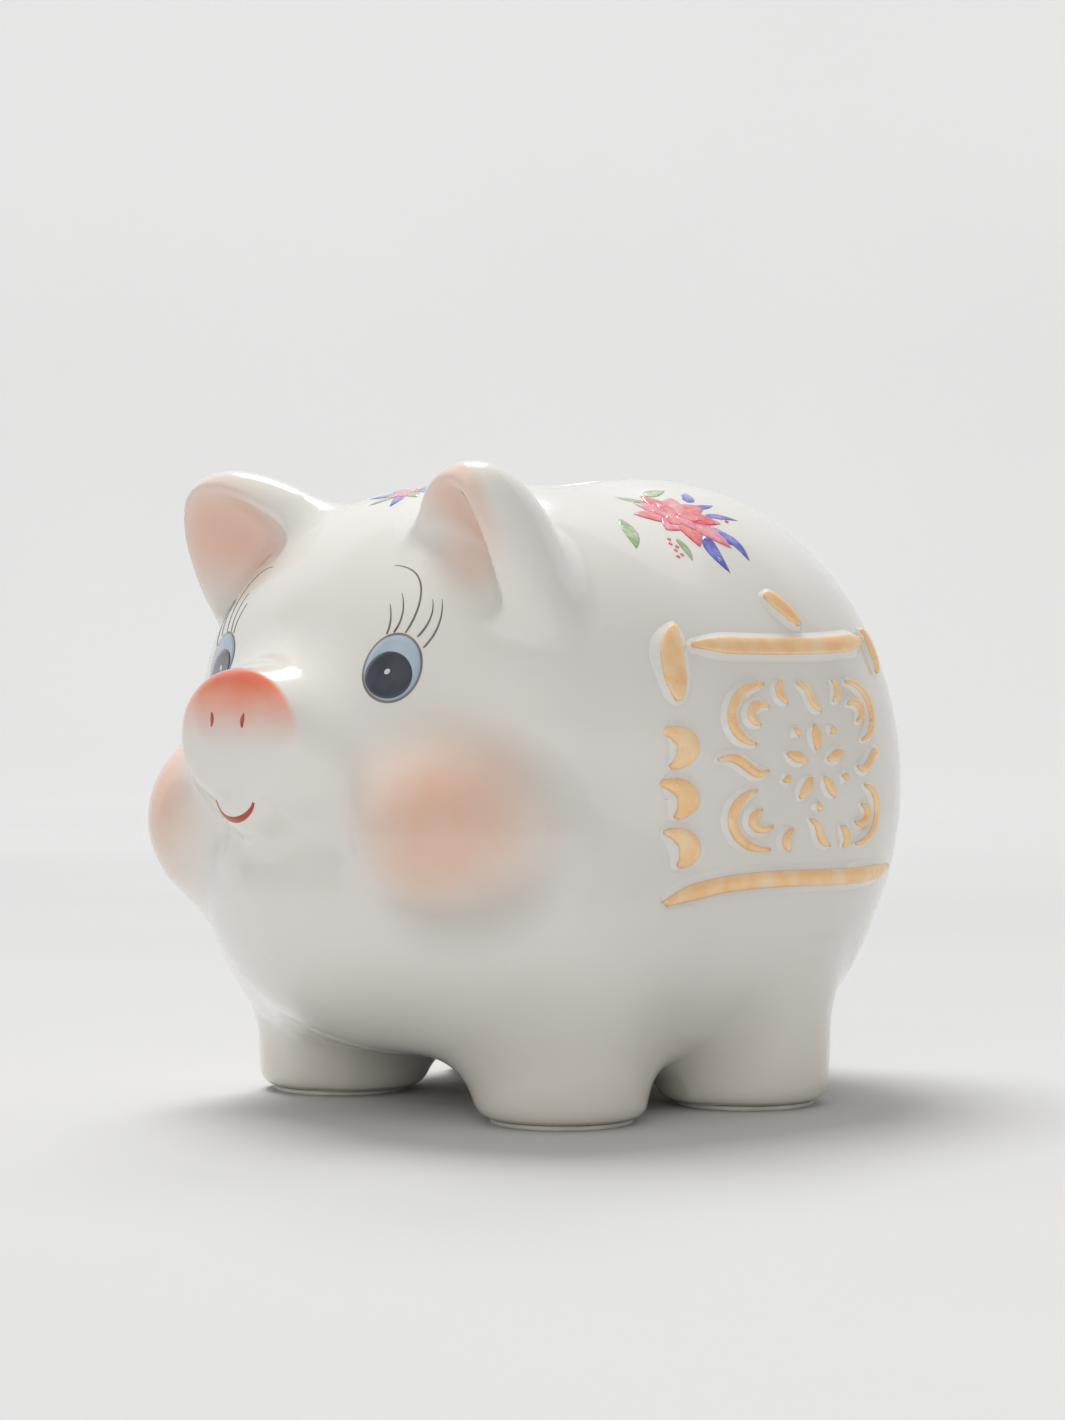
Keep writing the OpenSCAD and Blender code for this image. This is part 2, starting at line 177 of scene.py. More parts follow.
def ellipsoid(x, y, z, form):
    """Near-distance to an ellipsoid, negative inside."""
    c, r = form
    qx, qy, qz = (x - c[0]) / r[0], (y - c[1]) / r[1], (z - c[2]) / r[2]
    k0 = np.sqrt(qx * qx + qy * qy + qz * qz)
    k1 = np.sqrt((qx / r[0]) ** 2 + (qy / r[1]) ** 2 + (qz / r[2]) ** 2)
    return k0 * (k0 - 1) / np.maximum(k1, 1e-9)


def join(a, b, k):
    """Union with a fillet of size k."""
    h = np.maximum(k - np.abs(a - b), 0) / k
    return np.minimum(a, b) - h * h * k / 4


def meet(a, b, k):
    """Intersection with a rounded edge of size k."""
    return -join(-a, -b, k)


def squared(x, y, z, form, power):
    """Near-distance to an ellipsoid that is squarer seen from above."""
    c, r = form
    qx, qy, qz = np.abs(x - c[0]) / r[0], np.abs(y - c[1]) / r[1], (z - c[2]) / r[2]
    flat = (qx**power + qy**power + 1e-12) ** (1 / power)
    k0 = np.sqrt(flat * flat + qz * qz)
    k1 = np.sqrt((qx / r[0]) ** 2 + (qy / r[1]) ** 2 + (qz / r[2]) ** 2)
    return k0 * (k0 - 1) / np.maximum(k1, 1e-9)


def trunk_form(x, y, z):
    """Body without legs, ears and snout."""
    ax = np.abs(x)
    f = join(ellipsoid(x, y, z, TRUNK), ellipsoid(x, y, z, MIDDLE), JOIN_TRUNK)
    f = join(f, squared(x, y, z, HEAD, HEAD_SQUARE), JOIN_HEAD)
    f = join(f, ellipsoid(x, y, z, CHEST), JOIN_CHEST)
    haunch_front, haunch_rear = (ellipsoid(ax, y, z, form) for form in HAUNCHES)
    f = join(f, join(haunch_front, haunch_rear, JOIN_HAUNCHES), JOIN_SIDE)
    f = join(f, ellipsoid(ax, y, z, CHEEK), JOIN_CHEEK)
    return meet(f, BELLY_Z - z, ROUND_BELLY)


def cavity_form(x, y, z):
    """The coin space."""
    return meet(trunk_form(x, y, z) + WALL, FLOOR_Z - z, ROUND_CAVITY)


def ear_form(x, y, z):
    """A lobe leaning forward, with a dish scooped out of its front."""
    dx, dy, dz = np.abs(x) - EAR_C[0], y - EAR_C[1], z - EAR_C[2]
    w = dx * math.cos(EAR_TILT) - dz * math.sin(EAR_TILT)
    v = dx * math.sin(EAR_TILT) + dz * math.cos(EAR_TILT)
    lean = dy + EAR_LEAN * v + EAR_TOE * np.maximum(w, 0)
    narrow = np.where(w > 0, EAR_OUT, 1.0) * w * (1 + EAR_TAPER * np.maximum(v, -8))
    rooted = np.maximum(v, 0) + EAR_ROOT * np.minimum(v, 0)
    thin = np.minimum(lean, 0) + EAR_BACK * np.maximum(lean, 0)
    lobe = ellipsoid(narrow, rooted, thin, ((0, 0, 0), EAR_R))
    return meet(lobe, -ellipsoid(narrow, rooted, lean, (DISH_C, DISH_R)), DISH_EDGE)


def leg_form(x, y, z):
    """Four stub legs, a little wider towards the body."""
    ax = np.abs(x) - LEG_X
    r = LEG_R + LEG_FLARE * z
    front = np.sqrt(ax**2 + (y - LEG_FRONT_Y) ** 2) - r
    rear = np.sqrt(ax**2 + (y - LEG_REAR_Y) ** 2) - r
    foot = meet(np.minimum(front, rear), PAD_T - z, 5)
    return meet(foot, z - LEG_TOP, 4)


def stub_form(x, y, z, front, middle, half, shape):
    """An oval stub with a domed end, widening towards the face."""
    dome, flare, edge = shape
    grow = 1 + flare * np.maximum(y - front, 0)
    e = np.sqrt((x / (half[0] * grow)) ** 2 + ((z - middle) / (half[1] * grow)) ** 2)
    return meet(meet((e - 1) * half[1], front + dome * e * e - y, edge), y - SNOUT_ROOT_Y, 4)


def snout_form(x, y, z):
    """The crisp snout disc on a lower, rounder muzzle, with the lower lip under it."""
    disc = stub_form(x, y, z, SNOUT_Y, SNOUT_Z, SNOUT_HALF, DISC_SHAPE)
    muzzle = stub_form(x, y, z, MUZZLE_Y, MUZZLE_Z, MUZZLE_HALF, MUZZLE_SHAPE)
    return join(join(disc, muzzle, JOIN_MUZZLE), ellipsoid(x, y, z, LIP), JOIN_LIP)


def cut_form(x, y, z):
    """Coin slot, bung recess and bore, all to be taken away."""
    half = SLOT_L / 2 - SLOT_W / 2
    slot = np.sqrt(x * x + np.maximum(np.abs(y - SLOT_Y) - half, 0) ** 2) - SLOT_W / 2
    slot = np.maximum(slot, SLOT_LOW_Z - z)
    r = np.sqrt(x * x + (y - BORE_Y) ** 2)
    recess = np.maximum(r - RECESS_R, z - BELLY_Z - RECESS_D)
    bore = np.maximum(r - BORE_R, z - BORE_TOP_Z)
    return np.minimum(slot, np.minimum(recess, bore))


def pig_form(x, y, z):
    """The whole outside, without the tail."""
    # 0 under the belly, 1 on the outside of the legs
    outward = np.clip((np.sqrt(x * x + (y + 8) ** 2) - 48) / 20, 0, 1)
    leg_fillet = LEG_FILLET_IN + (LEG_FILLET_OUT - LEG_FILLET_IN) * outward
    f = join(trunk_form(x, y, z), leg_form(x, y, z), leg_fillet)
    f = join(f, ear_form(x, y, z), JOIN_EAR)
    f = join(f, snout_form(x, y, z), JOIN_SNOUT)
    return meet(f, -cut_form(x, y, z), ROUND_CUT)


def rump_y(x, z):
    """Back of the trunk."""
    c, r = TRUNK
    return c[1] + r[1] * np.sqrt(1 - (x / r[0]) ** 2 - ((z - c[2]) / r[2]) ** 2)


def tail_line(steps=60):
    """Middle line and radius of the curly tail."""
    t = np.linspace(0, 1, steps)
    a = np.radians(TAIL_FROM - TAIL_SWEEP * t)
    r = TAIL_CURL_R[0] + (TAIL_CURL_R[1] - TAIL_CURL_R[0]) * t
    thick = TAIL_THICK_R[0] + (TAIL_THICK_R[1] - TAIL_THICK_R[0]) * t
    x = r * np.cos(a)
    z = TAIL_Z + r * np.sin(a)
    return np.stack([x, rump_y(x, z) + TAIL_GAP + TAIL_RISE * t * t, z], 1), thick


TAIL, TAIL_R = tail_line()


def tail_form(points):
    """Near-distance to the tail for an (n, 3) array."""
    best = np.full(len(points), 1e3)
    for i in range(len(TAIL) - 1):
        a, b = TAIL[i], TAIL[i + 1]
        t = np.clip((points - a) @ (b - a) / ((b - a) @ (b - a)), 0, 1)
        d = np.linalg.norm(points - a - t[:, None] * (b - a), axis=1)
        best = np.minimum(best, d - TAIL_R[i])
    return best


def whole_form(points):
    """The outside with its tail, for an (n, 3) array."""
    f = pig_form(points[:, 0], points[:, 1], points[:, 2])
    near = points[:, 1] > 70
    f[near] = join(f[near], tail_form(points[near]), JOIN_TAIL)
    return f


def slopes(form, points, step=0.25):
    """Gradient of a form at (n, 3) points."""
    out = np.empty_like(points)
    for axis in range(3):
        d = np.zeros(3)
        d[axis] = step
        out[:, axis] = (form(points + d) - form(points - d)) / (2 * step)
    return out


def settle(form, points, turns=3):
    """Moves points on to the surface of a form."""
    for _ in range(turns):
        g = slopes(form, points)
        f = form(points)
        points = points - (np.clip(f, -1, 1) / np.maximum((g * g).sum(1), 0.2))[:, None] * g
    return points


# ---- meshes


def surface_nets(field, low, step):
    """Vertices and quads round the negative part of a grid of values."""
    inside = field < 0
    nx, ny, nz = field.shape
    count = np.zeros((nx - 1, ny - 1, nz - 1), np.uint8)
    corners = [(i, j, k) for i in (0, 1) for j in (0, 1) for k in (0, 1)]
    for i, j, k in corners:
        count += inside[i : nx - 1 + i, j : ny - 1 + j, k : nz - 1 + k]
    active = (count > 0) & (count < 8)
    index = np.full(active.shape, -1, np.int64)
    index[active] = np.arange(active.sum())
    cells = np.argwhere(active)
    total = np.zeros((len(cells), 3))
    weight = np.zeros(len(cells))
    for a in range(8):
        for b in range(a + 1, 8):
            ca, cb = np.array(corners[a]), np.array(corners[b])
            if np.abs(ca - cb).sum() != 1:
                continue
            fa = field[tuple((cells + ca).T)]
            fb = field[tuple((cells + cb).T)]
            cross = (fa < 0) != (fb < 0)
            t = np.where(cross, fa / np.where(cross, fa - fb, 1), 0)
            total[cross] += (cells + ca + (cb - ca) * t[:, None])[cross]
            weight += cross
    points = total / weight[:, None] * step + low
    quads = []
    for axis in range(3):
        here = tuple(slice(0, -1) if k == axis else slice(1, -1) for k in range(3))
        there = tuple(slice(1, None) if k == axis else slice(1, -1) for k in range(3))
        changed = inside[here] != inside[there]
        base = np.argwhere(changed)
        leaving = inside[here][changed]
        for k in range(3):
            if k != axis:
                base[:, k] += 1
        du, dv = np.zeros(3, int), np.zeros(3, int)
        du[(axis + 1) % 3] = 1
        dv[(axis + 2) % 3] = 1
        around = (base - du - dv, base - dv, base, base - du)
        quad = np.stack([index[tuple(c.T)] for c in around], 1)
        quad[~leaving] = quad[~leaving][:, ::-1]
        quads.append(quad)
    return points, np.concatenate(quads)


def pig_mesh():
    """Closed mesh of the outside, both halves alike apart from the tail."""
    half = np.arange(0, GRID_HALF_X, VOXEL)
    ys = np.arange(*GRID_Y, VOXEL)
    zs = np.arange(*GRID_Z, VOXEL)
    x, y, z = half[:, None, None], ys[None, :, None], zs[None, None, :]
    right = pig_form(x, y, z)
    field = np.concatenate([right[:0:-1], right])
    xs = np.concatenate([-half[:0:-1], half])
    low = np.array([xs[0], ys[0], zs[0]])
    box_low, box_high = TAIL.min(0) - 8, TAIL.max(0) + 8
    part = [
        np.flatnonzero((grid > box_low[i]) & (grid < box_high[i]))
        for i, grid in enumerate((xs, ys, zs))
    ]
    block = np.ix_(*part)
    sub = np.stack(np.meshgrid(xs[part[0]], ys[part[1]], zs[part[2]], indexing="ij"), -1)
    tail = tail_form(sub.reshape(-1, 3)).reshape(sub.shape[:3])
    field[block] = join(field[block], tail, JOIN_TAIL)
    points, quads = surface_nets(field, low, VOXEL)
    return settle(whole_form, points), quads


def cavity_mesh(rows=70, rings=110):
    """Closed mesh of the coin space, found along spokes from its middle."""
    middle = np.array([0, -6, 80.0])
    a = np.pi * np.arange(1, rows) / rows
    b = 2 * np.pi * (np.arange(rings) + 0.5) / rings
    spokes = np.stack(
        [
            np.outer(np.sin(a), np.cos(b)),
            np.outer(np.sin(a), np.sin(b)),
            -np.outer(np.cos(a), np.ones(rings)),
        ],
        -1,
    ).reshape(-1, 3)
    spokes = np.concatenate([[[0, 0, -1]], spokes, [[0, 0, 1]]])
    lo, hi = np.zeros(len(spokes)), np.full(len(spokes), 130.0)
    for _ in range(24):
        mid = (lo + hi) / 2
        p = middle + mid[:, None] * spokes
        out = cavity_form(p[:, 0], p[:, 1], p[:, 2]) > 0
        hi, lo = np.where(out, mid, hi), np.where(out, lo, mid)
    points = middle + ((lo + hi) / 2)[:, None] * spokes
    faces = []
    last = len(points) - 1
    for j in range(rings):
        k = (j + 1) % rings
        faces.append((0, 1 + k, 1 + j))
        top = 1 + (rows - 2) * rings
        faces.append((last, top + j, top + k))
        for i in range(rows - 2):
            p, q = 1 + i * rings + j, 1 + i * rings + k
            faces.append((p, q, q + rings, p + rings))
    return points, faces


def make_object(name, points, faces, materials=(), slots=None):
    """A mesh object from points in millimetres."""
    mesh = bpy.data.meshes.new(name)
    mesh.from_pydata((np.asarray(points) * MM).tolist(), [], [list(map(int, f)) for f in faces])
    for m in materials:
        mesh.materials.append(m)
    if slots is not None:
        mesh.polygons.foreach_set("material_index", np.asarray(slots, np.int32))
    mesh.polygons.foreach_set("use_smooth", np.ones(len(mesh.polygons), bool))
    mesh.validate()
    mesh.update()
    obj = bpy.data.objects.new(name, mesh)
    bpy.context.collection.objects.link(obj)
    return obj


class Pile:
    """Collects closed shapes into one mesh, with a material per face and a tone per point."""

    def __init__(self):
        self.points = []
        self.faces = []
        self.slots = []
        self.tones = []
        self.size = 0

    def add(self, points, faces, slot, tones):
        self.points.append(np.asarray(points, float))
        self.faces += [[i + self.size for i in f] for f in faces]
        self.slots += [slot] * len(faces)
        self.tones.append(tones)
        self.size += len(points)

    def build(self, name, materials):
        obj = make_object(name, np.concatenate(self.points), self.faces, materials, self.slots)
        layer = obj.data.attributes.new("tone", "FLOAT", "POINT")
        layer.data.foreach_set("value", np.concatenate(self.tones).astype(np.float32))
        return obj


# ---- laying shapes on the skin


def unit(v):
    """The same directions at length 1."""
    v = np.asarray(v, float)
    return v / np.linalg.norm(v, axis=-1, keepdims=True)


def plain_form(points):
    """The outside without slot, bore and tail, for decoration to lie on."""
    x, y, z = points.T
    f = join(trunk_form(x, y, z), ear_form(x, y, z), JOIN_EAR)
    return join(f, snout_form(x, y, z), JOIN_SNOUT)


def pinned(centre, normal, across):
    """Maps (a, b) in a plane over the skin to points of the skin and their normals."""
    normal = unit(normal)
    across = unit(np.asarray(across, float) - normal * np.dot(across, normal))
    up = np.cross(normal, across)

    def on_skin(ab):
        p = np.asarray(centre) + ab[:, :1] * across + ab[:, 1:] * up + 16 * normal
        for _ in range(40):
            p = p - np.maximum(plain_form(p), 0)[:, None] * 0.8 * normal
        p = settle(plain_form, p, 1)
        return p, unit(slopes(plain_form, p))

    return on_skin


def flank(side):
    """Maps (s, t) on a flank, rearwards and upwards, to points of the skin and their normals."""
    axis = np.array([0, TRUNK[0][1], RELIEF_Z])

    def on_skin(st):
        a = st[:, 0] / FLANK_R + FLANK_TURN
        d = np.stack([np.cos(a), np.sin(a), np.zeros(len(a))], 1)
        o = axis + st[:, 1:] * np.array([0, 0, 1.0])
        lo, hi = np.full(len(a), 20.0), np.full(len(a), 90.0)
        for _ in range(22):
            mid = (lo + hi) / 2
            out = plain_form(o + mid[:, None] * d) > 0
            hi, lo = np.where(out, mid, hi), np.where(out, lo, mid)
        p = o + ((lo + hi) / 2)[:, None] * d
        n = unit(slopes(plain_form, p))
        mirror = np.array([side, 1, 1])
        return p * mirror, n * mirror

    return on_skin


def cubic(c, n):
    """n + 1 points of a cubic curve."""
    c = np.asarray(c, float)
    t = np.linspace(0, 1, n + 1)[:, None]
    return (1 - t) ** 3 * c[0] + 3 * t * (1 - t) ** 2 * c[1] + 3 * t * t * (1 - t) * c[2] + t**3 * c[3]


def tube_faces(rows, ring, flip):
    """Quads of a closed strip of rings, with an end face at each end."""
    faces = []
    for i in range(rows - 1):
        for j in range(ring):
            a, b = i * ring + j, i * ring + (j + 1) % ring
            faces.append((a, b, b + ring, a + ring))
    faces.append(tuple(range(ring - 1, -1, -1)))
    faces.append(tuple((rows - 1) * ring + j for j in range(ring)))
    return [f[::-1] for f in faces] if flip else faces


def stroke(pile, on_skin, line, half, height, ring, sink=0.3, base=0.0, soft=False, flip=False):
    """A raised stroke along a line, with half widths and heights per point.

    Soft gives it sloping shoulders; sink is how far its underside lies in the skin.
    """
    line = np.asarray(line, float)
    half = np.broadcast_to(half, len(line)).astype(float)
    height = np.broadcast_to(height, len(line)).astype(float)
    along = unit(np.gradient(line, axis=0))
    side = np.stack([along[:, 1], -along[:, 0]], 1)
    k = np.linspace(-1, 1, ring - 2)
    if soft:
        crown = 0.5 + 0.5 * np.cos(np.pi * k)
    else:
        k = np.sin(k * np.pi / 2)
        crown = np.sqrt(np.maximum(1 - k * k, 0))
    offsets = half[:, None, None] * k[None, :, None] * side[:, None, :]
    p, n = on_skin((line[:, None, :] + offsets).reshape(-1, 2))
    shape = (len(line), ring - 2, 3)
    p, n = p.reshape(shape), n.reshape(shape)
    rise = base - (0.12 if soft else 0.0) + height[:, None] * crown[None, :]
    top = p + n * rise[:, :, None]
    low = p[:, [-1, 0]] - n[:, [-1, 0]] * sink
    rows = np.concatenate([top, low], 1).reshape(-1, 3)
    tones = np.repeat(np.linspace(0, 1, len(line)), ring)
    pile.add(rows, tube_faces(len(line), ring, flip), 0, tones)


def ends(n, blunt):
    """Width profile of a stroke with round ends, full from the share blunt of its length."""
    t = np.clip(np.linspace(0, 1, n), 0.012, 0.988)
    return np.sqrt(np.clip(np.sin(np.pi * t) / math.sin(np.pi * blunt), 0, 1))


def patch(pile, on_skin, outline, lift, slot, rows, flip, sink=0.25):
    """A thin, slightly crowned layer inside a closed outline, its edge at height lift."""
    outline = np.asarray(outline, float)
    middle = outline.mean(0)
    steps = len(outline)
    scale = np.linspace(0, 1, rows + 1)[1:]
    flat = np.concatenate([[middle]] + [middle + (outline - middle) * s for s in scale])
    rim = np.concatenate([[0.0]] + [np.full(steps, s) for s in scale])
    p, n = on_skin(flat)
    top = p + n * (lift + 0.01 * (1 - rim**4))[:, None]
    low = p - n * sink
    count = len(flat)
    faces = [(0, 1 + j, 1 + (j + 1) % steps) for j in range(steps)]
    for i in range(rows - 1):
        for j in range(steps):
            a, b = 1 + i * steps + j, 1 + i * steps + (j + 1) % steps
            faces.append((a, a + steps, b + steps, b))
    under = [tuple(v + count for v in f[::-1]) for f in faces]
    edge = 1 + (rows - 1) * steps
    around = [
        (edge + j, edge + j + count, edge + (j + 1) % steps + count, edge + (j + 1) % steps)
        for j in range(steps)
    ]
    faces = faces + under + around
    if flip:
        faces = [f[::-1] for f in faces]
    pile.add(np.concatenate([top, low]), faces, slot, np.concatenate([rim, rim]))


def oval(a, b, half_a, half_b, turn, steps):
    """Outline of a turned ellipse."""
    g = np.linspace(0, 2 * np.pi, steps, endpoint=False)
    x, y = half_a * np.cos(g), half_b * np.sin(g)
    c, s = math.cos(math.radians(turn)), math.sin(math.radians(turn))
    return np.stack([a + c * x - s * y, b + s * x + c * y], 1)


def leaf(a, b, turn, length, width, bend=0.0, steps=14):
    """Outline of a pointed leaf that starts at (a, b) and points along turn, in degrees."""
    t = np.linspace(0, 1, steps)
    w = width / 2 * np.sin(np.pi * t**0.8) ** 0.85
    mid = bend * np.sin(np.pi * t)
    x = np.concatenate([t, t[-2:0:-1]]) * length
    y = np.concatenate([mid + w, (mid - w)[-2:0:-1]])
    c, s = math.cos(math.radians(turn)), math.sin(math.radians(turn))
    return np.stack([a + c * x - s * y, b + s * x + c * y], 1)[::-1]


def mirrored(on_skin, side):
    """The same mapping on the pig's other side."""

    def other(ab):
        p, n = on_skin(ab)
        m = np.array([side, 1, 1])
        return p * m, n * m

    return other


def lathe(profile, centre, n=96):
    """Closed solid turned about a vertical axis.

    Its profile is (radius, height) pairs that start and end on the axis.
    """
    g = np.linspace(0, 2 * np.pi, n, endpoint=False)
    inner = profile[1:-1]
    points = [(centre[0], centre[1], profile[0][1])]
    for r, z in inner:
        points += [(centre[0] + r * math.cos(a), centre[1] + r * math.sin(a), z) for a in g]
    points.append((centre[0], centre[1], profile[-1][1]))
    last = len(points) - 1
    faces = []
    for j in range(n):
        k = (j + 1) % n
        faces.append((0, 1 + k, 1 + j))
        top = 1 + (len(inner) - 1) * n
        faces.append((last, top + j, top + k))
        for i in range(len(inner) - 1):
            a, b = 1 + i * n + j, 1 + i * n + k
            faces.append((a, b, b + n, a + n))
    return np.array(points), faces


def rounded(profile, r, steps=4):
    """The profile with its corners rounded to about r."""
    out = [profile[0]]
    for i in range(1, len(profile) - 1):
        p, a, b = (np.array(profile[j], float) for j in (i, i - 1, i + 1))
        la, lb = np.linalg.norm(a - p), np.linalg.norm(b - p)
        d = min(r, la * 0.45, lb * 0.45)
        s, e = p + (a - p) / la * d, p + (b - p) / lb * d
        for t in np.linspace(0, 1, steps):
            out.append(tuple((1 - t) ** 2 * s + 2 * t * (1 - t) * p + t * t * e))
    out.append(profile[-1])
    return out


# ---- materials


class Shader:
    """Short names for building a node material."""

    def __init__(self, name):
        self.material = bpy.data.materials.new(name)
        self.material.use_nodes = True
        self.tree = self.material.node_tree
        self.base = self.tree.nodes["Principled BSDF"]

    def node(self, kind, **values):
        n = self.tree.nodes.new(kind)
        for key, value in values.items():
            setattr(n, key, value)
        return n

    def link(self, a, b):
        self.tree.links.new(a, b)

    def put(self, **values):
        for key, value in values.items():
            self.base.inputs[key.replace("_", " ")].default_value = value

    def place(self):
        """Position on the object, in metres."""
        return self.node("ShaderNodeTexCoord").outputs["Object"]

    def noise(self, scale, detail=3.0, rough=0.5):
        n = self.node("ShaderNodeTexNoise")
        n.inputs["Scale"].default_value = scale
        n.inputs["Detail"].default_value = detail
        n.inputs["Roughness"].default_value = rough
        self.link(self.place(), n.inputs["Vector"])
        return n.outputs["Fac"]

    def math(self, kind, a, b=None):
        n = self.node("ShaderNodeMath", operation=kind)
        for socket, value in zip(n.inputs, (a, b)):
            if value is None:
                continue
            if isinstance(value, (int, float)):
                socket.default_value = value
            else:
                self.link(value, socket)
        return n.outputs[0]

    def ramp(self, value, low, high, to_low=0.0, to_high=1.0):
        """A smooth step from to_low at low to to_high at high."""
        n = self.node("ShaderNodeMapRange", interpolation_type="SMOOTHSTEP")
        n.inputs["From Min"].default_value = low
        n.inputs["From Max"].default_value = high
        n.inputs["To Min"].default_value = to_low
        n.inputs["To Max"].default_value = to_high
        self.link(value, n.inputs["Value"])
        return n.outputs["Result"]

    def mix(self, amount, a, b):
        """Colour a where amount is 0 and colour b where it is 1."""
        n = self.node("ShaderNodeMix", data_type="RGBA")
        self.link(amount, n.inputs["Factor"])
        for socket, value in ((n.inputs[6], a), (n.inputs[7], b)):
            if isinstance(value, tuple):
                socket.default_value = (*value, 1)
            else:
                self.link(value, socket)
        return n.outputs[2]

    def near(self, centre, stretch, inner, outer):
        """1 close to a point, fading to 0 over stretched distances in millimetres."""
        sub = self.node("ShaderNodeVectorMath", operation="SUBTRACT")
        self.link(self.place(), sub.inputs[0])
        sub.inputs[1].default_value = [c * MM for c in centre]
        scale = self.node("ShaderNodeVectorMath", operation="MULTIPLY")
        self.link(sub.outputs[0], scale.inputs[0])
        scale.inputs[1].default_value = [1 / (s * MM) for s in stretch]
        length = self.node("ShaderNodeVectorMath", operation="LENGTH")
        self.link(scale.outputs[0], length.inputs[0])
        return self.ramp(length.outputs["Value"], inner, outer, 1.0, 0.0)

    def tone(self):
        """0 to 1 along a stroke, or from the middle of a layer to its edge."""
        return self.node("ShaderNodeAttribute", attribute_name="tone").outputs["Fac"]

    def bump(self, height, strength, distance):
        n = self.node("ShaderNodeBump")
        n.inputs["Strength"].default_value = strength
        n.inputs["Distance"].default_value = distance * MM
        self.link(height, n.inputs["Height"])
        self.link(n.outputs["Normal"], self.base.inputs["Normal"])


IVORY = (0.80, 0.782, 0.73)
IVORY_PALE = (0.83, 0.81, 0.76)
BLUSH = (0.80, 0.43, 0.27)
EAR_BLUSH = (0.84, 0.47, 0.33)
CORAL = (0.88, 0.19, 0.055)
CORAL_RIM = (0.72, 0.10, 0.05)
# painted shade that darkens the lower body and legs
PAINTED_LOW_SHADE = (0.70, 0.64, 0.54)
# painted shadow line along the foot's lower edge, just above its pad
PAINTED_FOOT_SHADOW = (0.36, 0.32, 0.26)
SPECK = (0.45, 0.40, 0.33)


def glaze_material():
    """Ivory glaze with airbrushed cheeks, ears and snout, painted shade low down and a painted shadow line
    at the feet.
    """
    s = Shader("ivory_glaze")
    cloud = s.noise(22, 3)
    colour = s.mix(s.ramp(cloud, 0.3, 0.7), IVORY, IVORY_PALE)
    patchy = s.ramp(s.noise(60, 4), 0.25, 0.75, 0.72, 1.0)
    # the ears are tinted only where their surface looks forward
    facing = s.node("ShaderNodeSeparateXYZ")
    s.link(s.node("ShaderNodeNewGeometry").outputs["Normal"], facing.inputs[0])
    forward = s.ramp(facing.outputs[1], -0.2, -0.6)
    for side, strength, ear_z in zip(SIDES, (0.8, 0.95), (146, 142)):
        cheek = s.near((side * 56, -83, 75), (29, 29, 27), 0.15, 1.2)
        airbrush = s.math("MULTIPLY", s.math("MULTIPLY", cheek, patchy), strength)
        colour = s.mix(airbrush, colour, BLUSH)
        ear = s.near((side * 49, -67, ear_z), (20, 20, 20), 0.2, 1.15)
        airbrush = s.math("MULTIPLY", s.math("MULTIPLY", ear, forward), 0.75)
        colour = s.mix(airbrush, colour, EAR_BLUSH)
    split = s.node("ShaderNodeSeparateXYZ")
    s.link(s.place(), split.inputs[0])
    x, y, z = split.outputs
    oval_x = s.math("POWER", s.math("DIVIDE", x, SNOUT_HALF[0] * MM), 2)
    above = s.math("SUBTRACT", z, SNOUT_Z * MM)
    oval_z = s.math("POWER", s.math("DIVIDE", above, SNOUT_HALF[1] * MM), 2)
    spread = s.math("ADD", s.math("ABSOLUTE", oval_x), s.math("ABSOLUTE", oval_z))
    # the disc's domed face, and nothing behind it
    depth = s.math("SUBTRACT", y, s.math("MULTIPLY", spread, DISC_DOME * MM))
    face = s.ramp(depth, (SNOUT_Y + 2.6) * MM, (SNOUT_Y + 0.9) * MM)
    front = s.math("MULTIPLY", face, s.ramp(spread, 1.15, 1.02))
    upper = s.ramp(z, 88 * MM, 107 * MM)
    coral = s.math("MULTIPLY", front, upper)
    colour = s.mix(s.math("MULTIPLY", coral, patchy), colour, CORAL)
    rim = s.math("MULTIPLY", front, s.ramp(z, 101 * MM, 107 * MM))
    colour = s.mix(s.math("MULTIPLY", rim, 0.6), colour, CORAL_RIM)
    # painted shade: the glaze gets darker towards the bottom, from 46 mm down to 6 mm
    low = s.ramp(z, 46 * MM, 6 * MM)
    colour = s.mix(s.math("MULTIPLY", low, 0.45), colour, PAINTED_LOW_SHADE)
    # painted shadow: a dark line round the bottom of each foot, just above its pad
    foot = s.ramp(z, 1.6 * MM, 2.4 * MM, 1.0, 0.0)
    colour = s.mix(s.math("MULTIPLY", foot, 0.65), colour, PAINTED_FOOT_SHADOW)
    speck = s.ramp(s.noise(900, 1), 0.79, 0.83)
    colour = s.mix(s.math("MULTIPLY", speck, 0.25), colour, SPECK)
    s.link(colour, s.base.inputs["Base Color"])
    s.link(s.ramp(s.noise(45, 3), 0.3, 0.7, 0.13, 0.20), s.base.inputs["Roughness"])
    s.put(Specular_IOR_Level=0.5, Coat_Weight=0.7, Coat_Roughness=0.03, Subsurface_Weight=0.12)
    s.put(Subsurface_Radius=(0.004, 0.003, 0.002), Subsurface_Scale=1.0)
    ripple = s.math("MULTIPLY", s.noise(400, 2), 0.04)
    s.bump(s.math("ADD", s.noise(38, 2), ripple), 0.35, 0.5)
    return s.material


def bisque_material():
    """Unglazed clay inside the bank."""
    s = Shader("bisque")
    colour = s.mix(s.ramp(s.noise(90, 5), 0.3, 0.7), (0.62, 0.56, 0.47), (0.74, 0.69, 0.60))
    s.link(colour, s.base.inputs["Base Color"])
    s.put(Roughness=0.85)
    s.bump(s.noise(700, 4), 0.4, 0.3)
    return s.material


